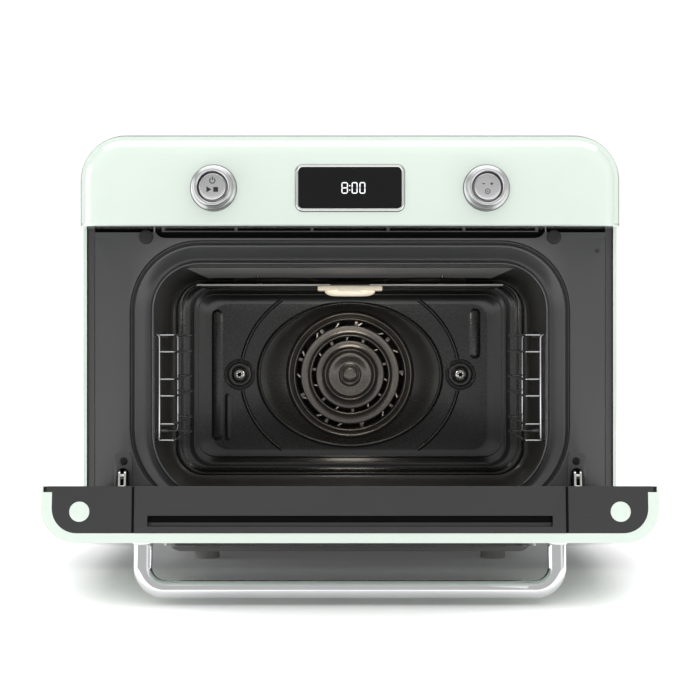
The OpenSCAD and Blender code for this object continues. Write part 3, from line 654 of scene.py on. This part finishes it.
# (depth, half width, half height) of the ridge round the bowl, then of the bowl itself
RIDGE = [(346.4, 102.0, 80.2), (346.2, 100.6, 79.0), (345.3, 99.8, 78.2), (344.9, 98.9, 77.4),
         (345.3, 98.0, 76.6)]
BOWL_FORM = [(346.0, 97.2, 75.9), (345.8, 94.0, 75.2), (345.0, 88.0, 74.2), (343.9, 82.0, 72.8),
             (342.8, 76.0, 71.2)]
box_loops = [ray_loop(y, "box", *outline) for y, *outline in STEPS]
ridge_loops = [ray_loop(y, "ellipse", *axes) for y, *axes in RIDGE]
bowl_loops = [ray_loop(y, "ellipse", *axes) for y, *axes in BOWL_FORM] + [ray_loop(341.8, "circle", 69.6)]
# the slope takes the near-black copy of the rear panel's enamel as painted shade
bm = bmesh.new()
rings(bm, box_loops[SLOPE_FROM:])
piece("panel_slope", bm, SHADED_SLOPE_ENAMEL, "oven", angle=60)
# the bowl takes the lighter copy of the rear panel's enamel as painted light
bm = bmesh.new()
rings(bm, bowl_loops)
piece("fan_bowl", bm, LIT_BOWL_ENAMEL, "oven", angle=60)
bm = bmesh.new()
rings(bm, box_loops[:SLOPE_FROM + 1])
rings(bm, box_loops[-1:] + ridge_loops + bowl_loops[:1])
piece("rear_panel", bm, CAVITY, "oven", ["rear_baffle"], angle=60)

# the rim carries the cover's warm painted lamplight
bm = bmesh.new()
lathe(bm, 0, FAN, [(69.6, 341.8), (68.4, 340.4), (67.4, 339.0), (66.4, 338.3), (65.4, 338.4), (64.4, 339.3),
                   (63.4, 340.2), (62.4, 339.6), (61.6, 338.4), (60.7, 337.7), (59.8, 337.8), (58.9, 338.6),
                   (58.0, 340.4), (57.5, 343), (57.3, 347)], 200)
piece("fan_rim", bm, LAMPLIT_COVER, "oven", angle=60)
# the rolled edges take the lighter wall enamel, not the rear panel's, as a painted highlight
bm = bmesh.new()                                 # rolled edges of the rear panel
for hw, z0, z1, r, y, t in ((188.9, 60.6, 274.3, 31, 337.2, 0.8), (181.4, 66.7, 270.8, 27, 338.6, 0.9),
                            (168.8, 76.6, 264.8, 21, 340.6, 0.9), (164.8, 84.6, 259.6, 19, 342.6, 0.7)):
    loop = plane(arch(hw, z0, z1, r, r, 12), y)
    tube(bm, loop + [loop[0]], t, 8, cap=False)
piece("panel_edges", bm, WALLS, "oven", angle=60)

bm = bmesh.new()                                 # pressed beads of the rear panel
for s in (-1, 1):
    for t in (-1, 1):
        turns = [math.radians(9.5 + 42 * i / 39) for i in range(40)]
        arc = [(s * 118.5 * math.cos(a), FAN + t * 104 * math.sin(a)) for a in turns]
        tube(bm, plane(arc, 346.2), 2.1, 10)
    round_screw = ring(s * SCREW_X, FAN, 15.6, 48)
    tube(bm, plane(round_screw + round_screw[:1], 346.0), 1.2, 10)
piece("panel_beads", bm, CAVITY, "oven", angle=60)


def rib(bm, x0, x1, z0, z1, y0, y1):
    """A long pressed rib with rounded ends."""
    hw, cx = (x1 - x0) / 2, (x0 + x1) / 2
    profile = [(0, y0), (-0.8, y0 - 0.2), (-2.0, (y0 + y1) / 2), (-3.2, y1 + 0.15), (-3.8, y1)]
    rings(bm, [plane(shift(arch(hw + d, z0 - d, z1 + d, hw + d - 0.1, hw + d - 0.1, 8), cx, 0), y)
               for d, y in profile], cap1=True)


bm = bmesh.new()
rib(bm, -151.4, -137.2, 100.5, 244.4, 346.6, 345.3)
rib(bm, -137.0, -128.6, 100, 153, 346.6, 345.5)
rib(bm, 129.2, 142.6, 189, 245.5, 346.6, 345.3)
piece("panel_ribs", bm, CAVITY, "oven", angle=60)

WASHER = [(13.6, 345.6), (13.2, 344.6), (12.0, 344.2), (8.4, 344.3), (7.6, 344.9), (7.0, 345.2)]
SCREW = [(6.5, 345.2), (6.5, 341.0), (6.2, 339.8), (5.4, 339.2), (3.9, 339.1), (3.3, 339.6), (3.2, 343),
         (0, 343)]
bm = bmesh.new()                                 # socket screws on washers
for s in (-1, 1):
    lathe(bm, s * SCREW_X, FAN, WASHER, 60)
piece("screw_seats", bm, CAVITY, "oven", angle=60)
bm = bmesh.new()
for s in (-1, 1):
    lathe(bm, s * SCREW_X, FAN, SCREW, 48)
piece("panel_screws", bm, SHINE, "oven", ["baffle_screws"])
bm = bmesh.new()
for s in (-1, 1):
    star = []
    for i in range(48):
        a = 2 * math.pi * i / 48
        r = 2.35 + 0.55 * math.cos(6 * a)
        star.append((s * SCREW_X + r * math.cos(a), FAN + r * math.sin(a)))
    rings(bm, [plane(star, 342.2), plane(star, 340.4)], cap1=True)
piece("screw_sockets", bm, SHADOW_GAP, "oven")

# the cover's warm light grey is painted lamplight
bm = bmesh.new()                                 # fan cover: outer ring, inner dish and the bridges between
lathe(bm, 0, FAN, [(53.6, 346), (53.6, 340.6), (53.4, 339.7), (52.8, 339.2), (52.0, 339.1), (50.6, 339.3),
                   (47, 339.2), (45, 338.9), (43.9, 338.2), (43.1, 337.7), (42.1, 337.7), (41.2, 338.3),
                   (40.8, 339.4), (40.6, 341.4), (40.6, 346)], 160)
lathe(bm, 0, FAN, [(37.2, 346), (37.2, 340.2), (37.0, 339.2), (36.4, 338.7), (35.6, 338.6), (34, 338.7),
                   (31, 338.4), (29.2, 337.8), (28.0, 337.0), (27.2, 336.4), (26.3, 336.4), (25.5, 337.1),
                   (24.9, 337.8), (24.2, 337.2), (23.4, 336.3), (22.4, 336.1), (18.5, 336.9), (14.4, 337.8),
                   (11.8, 338.0), (11.1, 337.3), (10.4, 336.9), (9.6, 337.2), (9.0, 338.1), (8.2, 338.2),
                   (7.5, 337.4), (6.7, 337.0), (3.4, 337.0), (0, 336.95)], 160)
for count, r0, r1, wide, turn in ((7, 36.4, 41.8, 1.5, 0.3), (9, 52.4, 57.8, 1.7, 0.05)):
    for i in range(count):
        a = 2 * math.pi * i / count + turn
        c, s = math.cos(a), math.sin(a)
        block(bm, r0, r1, 340.6, 342.2, -wide, wide, 0.3,
              place=lambda x, y, z, c=c, s=s: body(x * c - z * s, y, FAN + x * s + z * c))
piece("fan_cover", bm, LAMPLIT_COVER, "oven", angle=60)

BLADES = 14
BLADE_TURN = 0.03                                # a blade's thickness as an angle
bm = bmesh.new()                                 # fan wheel: swept blades on a dark disc
for i in range(BLADES):
    loops = []
    for y, k in ((351.2, 0.0), (357, -0.05), (370, -0.16)):
        strip = []
        for t in range(7):
            a = 2 * math.pi * i / BLADES + k - 0.5 * (t / 6) ** 1.4
            strip.append((24 + 35 * t / 6, a))
        strip += [(r, a + BLADE_TURN) for r, a in reversed(strip)]
        loops.append([body(r * math.cos(a), y, FAN + r * math.sin(a)) for r, a in strip])
    rings(bm, loops, cap0=True, cap1=True)
piece("fan_blades", bm, BLADE, "convection_fan", ["fan_wheel"])
# the fan's disc takes the near-black painted shade
bm = bmesh.new()
lathe(bm, 0, FAN, [(60, 371.1), (59.8, 370.2), (58, 369.8), (30, 369.8), (12, 366), (9.6, 360), (9, 352.4),
                   (4, 352.2)], 96)
piece("fan_disc", bm, FAN_DISC_SHADE, "convection_fan")

# lamp under the ceiling plate
LAMP_Y = 211
# the surround's faint glow is painted light
bm = bmesh.new()
for s in (-1, 1):
    block(bm, s * 21.5 - 11, s * 21.5 + 11, LAMP_Y - 15, LAMP_Y + 15, 259.6, 264.4, 1.2)
block(bm, -12, 12, LAMP_Y - 14, LAMP_Y + 14, 258.8, 264.4, 0.8)
piece("lamp_surround", bm, LAMPSET_PAINTED_GLOW, "oven", ["lamp_housing"])
bm = bmesh.new()
loops = []
for k in range(7):
    a = math.pi / 2 * k / 6
    grow = 0.6 + 0.4 * math.cos(a)
    loops.append([body(25.5 * x * grow, LAMP_Y + 13 * y * grow, 259.4 - 4.9 * math.sin(a))
                  for x, y in ring(0, 0, 1, 48)])
rings(bm, loops, cap1=True)
piece("lamp_lens", bm, LAMP, "oven", ["lamp_glass"], angle=60)

# side racks
RAILS = (116, 131.2, 157.5, 173.2, 198.9, 214.7)
RACK_Y = (75, 255)                               # the uprights' places along the cavity
for side, s in (("left", -1), ("right", 1)):
    bm = bmesh.new()
    for y in RACK_Y:
        upright = [(190, RAILS[-1]), (178.7, RAILS[-1]), (178.7, RAILS[0]), (190, RAILS[0])]
        tube(bm, fillet([body(s * x, y, z) for x, z in upright], 3 * MM), 1.25, 14)
    for z in RAILS:
        rail = [(178.2, RACK_Y[0]), (164, RACK_Y[0]), (164, RACK_Y[1]), (178.2, RACK_Y[1])]
        tube(bm, fillet([body(s * x, y, z) for x, y in rail], 5 * MM, 8), 1.12, 14)
    piece("rack_wires_" + side, bm, CHROME, "oven", ["rack_" + side], angle=60)

# ---------------------------------------------------------------- door
TOP = 250                                        # the door's upper edge above its hinge axis


def edge_pad(bm, outline, u0, u1, edge=0.3):
    """A plate on the door's upper edge: the outline is in x and w."""
    pad(bm, outline, u0, u1, edge, place=lambda x, u, w: door(x, w, u))


def on_edge(loop, u):
    return [door(x, w, u) for x, w in loop]


def shrink(loop, d):
    """Moves each point of a loop towards its middle by d each way."""
    cx = sum(p[0] for p in loop) / len(loop)
    cw = sum(p[1] for p in loop) / len(loop)
    return [(x - math.copysign(d, x - cx), w - math.copysign(d, w - cw)) for x, w in loop]


bm = bmesh.new()                                 # raised plate round the air slot
outer = arch(167.4, 0.4, 36.2, 0.4, 0.4, 3)
hole = arch(157.2, 22.9, 31.3, 0.9, 0.9, 3)
rings(bm, [on_edge(outer, TOP - 0.2), on_edge(outer, TOP + 0.4), on_edge(shrink(outer, 0.2), TOP + 0.6),
           on_edge(hole, TOP + 0.6), on_edge(hole, TOP - 1.7)])
piece("door_edge_trim", bm, TRIM, "door")
bm = bmesh.new()                                 # dark bottom of the slot, and the joints beside the plate
# the slot's bottom is near-black as painted shade; the strips beside the plate are dark joints
rings(bm, [on_edge(arch(157.6, 22.4, 31.8, 0.9, 0.9, 3), TOP - 3.4)], cap0=True)
for s in (-1, 1):
    edge_pad(bm, shift(arch(1.05, 0.3, 36.3, 0.2, 0.2, 2), s * 168.5, 0), TOP - 0.3, TOP + 0.06, 0.03)
piece("door_edge_gaps", bm, SHADOW_GAP, "door")
bm = bmesh.new()
edge_pad(bm, arch(157.3, 28.0, 31.6, 0.5, 0.5, 3), TOP - 3.3, TOP - 2.2, 0.2)
piece("slot_ledge", bm, TRIM, "door")
bm = bmesh.new()
PLUG = [(7.8, -3), (7.8, 0.15), (7.6, 0.38), (7.0, 0.5), (3, 0.52), (0.01, 0.52)]
for s in (-1, 1):
    rings(bm, [on_edge(ring(s * 210, 19.8, r, 56), TOP + u) for r, u in PLUG])
piece("edge_plugs", bm, MINT, "door", ["door_plugs"])

# handle: one bent tube, with a fine groove where its bar meets each elbow
HANDLE_X, HANDLE_W, HANDLE_U = 164, 80, 215
HANDLE_R, GROOVE_R = 7.25, 6.95
BEND = 24
bm = bmesh.new()
corners = [(-HANDLE_X, 43.6), (-HANDLE_X, HANDLE_W), (HANDLE_X, HANDLE_W), (HANDLE_X, 43.6)]
path = fillet([door(x, w, HANDLE_U) for x, w in corners], BEND * MM, 26)
groove = HANDLE_X - BEND - 0.2
half = len(path) // 2
grooves = [door(x, HANDLE_W, HANDLE_U) for x in (-groove, 0.4 - groove, groove - 0.4, groove)]
path[half:half] = grooves
radii = [GROOVE_R if abs(abs(p.x) / MM - groove) < 0.05 else HANDLE_R for p in path]
tube(bm, path, HANDLE_R, 48, radii=radii)
for s in (-1, 1):                                # collars against the door
    tube(bm, [door(s * HANDLE_X, w, HANDLE_U) for w in (43.9, 44.6, 45.2)], 8, 48, radii=[8.1, 8.1, 7.4])
piece("handle_tube", bm, CHROME, "door", ["handle_bar", "handle_elbows"], angle=50)

# hinge arms: a fork of two strips with a roller between them
bm = bmesh.new()
for s in (-1, 1):
    turns = [math.radians(-90 + 180 * i / 12) for i in range(13)]
    arm = [(26.5 + 4.6 * math.cos(a), 4.6 * math.sin(a)) for a in turns]
    arm += [(6, 5), (1.2, 9), (1.2, 30), (-4.6, 30), (-4.8, 2)]
    turns = [math.radians(190 + 80 * i / 6) for i in range(7)]
    arm += [(6.2 * math.cos(a), 6.2 * math.sin(a)) for a in turns]
    for x0, x1 in ((205.0, 206.8), (210.3, 212.0)):
        rings(bm, [[door(s * x, INNER - y, u) for y, u in inset(arm, d)]
                   for x, d in ((x0, 0.3), (x0 + 0.3, 0), (x1 - 0.3, 0), (x1, 0.3))], cap0=True, cap1=True)
    for y, u, r in ((25.5, 0, 2.6), (16, 0.6, 1.7)):
        tube(bm, [door(s * 206.4, INNER - y, u), door(s * 210.6, INNER - y, u)], r, 20)
piece("hinge_forks", bm, SHINE, "door", ["hinge_arms"], angle=40)

# soften the edges of the CAD parts that stay in view
for name, width in (("door_shell", 0.5), ("door_inner_frame", 0.45), ("outer_glass", 0.5),
                    ("ceiling_plate", 0.3), ("base_plinth", 0.8), ("casing_wrap", 0.3)):
    mod = frame["nodes"][name].modifiers.new("soft_edges", "BEVEL")
    mod.width = width * MM
    mod.segments = 2
    mod.limit_method = "ANGLE"
    mod.angle_limit = math.radians(50)
    mod.harden_normals = False

# ---------------------------------------------------------------- floor, light and camera
bm = bmesh.new()
rings(bm, [[Vector((-9, -6, 0)), Vector((9, -6, 0)), Vector((9, 9, 0)), Vector((-9, 9, 0))]], cap0=True)
me = bpy.data.meshes.new("floor")
bm.to_mesh(me)
bm.free()
floor = bpy.data.objects.new("floor", me)
bpy.context.scene.collection.objects.link(floor)
white = surface("floor_white", (236, 236, 236), 0.75, wear=0.04, tone=0.004, grain=40,
                emit=(255, 255, 255, 0.1))
nt = white.node_tree                             # the floor glows more away from the oven's shadow
where = nt.nodes.new("ShaderNodeTexCoord")
far = nt.nodes.new("ShaderNodeVectorMath")
far.operation = "LENGTH"
oval = nt.nodes.new("ShaderNodeVectorMath")
oval.operation = "MULTIPLY"
oval.inputs[1].default_value = (1.3, 0.85, 1)
nt.links.new(where.outputs["Object"], oval.inputs[0])
nt.links.new(oval.outputs["Vector"], far.inputs[0])
glow = nt.nodes.new("ShaderNodeMapRange")
glow.interpolation_type = "SMOOTHSTEP"
for key, value in (("From Min", 0.27), ("From Max", 0.43), ("To Min", 0.05), ("To Max", 0.7)):
    glow.inputs[key].default_value = value
nt.links.new(far.outputs["Value"], glow.inputs["Value"])
nt.links.new(glow.outputs["Result"], nt.nodes["Principled BSDF"].inputs["Emission Strength"])
me.materials.append(white)

BACKDROP = 1.02                                  # what the camera sees behind the oven
world = bpy.data.worlds.new("studio")
bpy.context.scene.world = world
world.use_nodes = True
wt = world.node_tree
direction = wt.nodes.new("ShaderNodeTexCoord")
axes = wt.nodes.new("ShaderNodeSeparateXYZ")
wt.links.new(direction.outputs["Generated"], axes.inputs[0])
dim = wt.nodes.new("ShaderNodeMapRange")         # as a light, the backdrop is dimmer than it looks
dim.interpolation_type = "SMOOTHSTEP"
for key, value in (("From Min", -0.3), ("From Max", 0.3), ("To Min", 0.62), ("To Max", 0.16)):
    dim.inputs[key].default_value = value
wt.links.new(axes.outputs["Y"], dim.inputs["Value"])
path_kind = wt.nodes.new("ShaderNodeLightPath")
choose = wt.nodes.new("ShaderNodeMix")
wt.links.new(path_kind.outputs["Is Camera Ray"], choose.inputs["Factor"])
wt.links.new(dim.outputs["Result"], choose.inputs["A"])
choose.inputs["B"].default_value = BACKDROP
wt.links.new(choose.outputs["Result"], wt.nodes["Background"].inputs["Strength"])
wt.nodes["Background"].inputs["Color"].default_value = (1, 1, 1, 1)


def area(name, at, to, size, radiance, tint=(1, 1, 1)):
    """A rectangular light that faces the point to; its power follows from size and radiance."""
    light = bpy.data.lights.new(name, "AREA")
    light.shape = "RECTANGLE"
    light.size, light.size_y = size
    light.energy = radiance * 4 * size[0] * size[1]
    light.color = tint
    ob = bpy.data.objects.new(name, light)
    ob.location = at
    ob.rotation_euler = (Vector(to) - Vector(at)).to_track_quat("-Z", "Y").to_euler()
    bpy.context.scene.collection.objects.link(ob)
    return ob


key = area("key", (0.1, -2.2, 1.4), (0, 0, 0.3), (3.0, 2.2), 0.9)
key.visible_glossy = False
area("overhead", (0, -0.22, 2.0), (0, -0.22, 0), (3.0, 1.85), 1.45)
area("side_left", (-2.0, -0.1, 0.55), (0, -0.1, 0.3), (1.7, 1.3), 1.35)
area("side_right", (2.2, -1.5, 0.95), (0, 0, 0.25), (1.4, 1.8), 0.35)
low_fill = area("low_fill", (0, -2.6, 0.25), (0, 0, 0.1), (3.0, 0.5), 1.0)
low_fill.visible_glossy = False
area("cavity_glow", body(0, 211, 252), body(0, 300, 110), (0.05, 0.03), 9, (1.0, 0.93, 0.82))
inside = area("cavity_fill", body(0, 58, 170), body(0, 340, 170), (0.33, 0.19), 0.42)
inside.visible_glossy = False
inside.visible_camera = False

camera = bpy.data.cameras.new("camera")
camera.sensor_width = 36
camera.lens = 92.03657
camera.shift_y = -0.012142857
camera.clip_end = 60
eye = bpy.data.objects.new("camera", camera)
eye.location = body(0, -1600, 208.6)
eye.rotation_euler = (math.radians(90), 0, 0)
bpy.context.scene.collection.objects.link(eye)
bpy.context.scene.camera = eye
bpy.context.scene.view_settings.view_transform = "Standard"
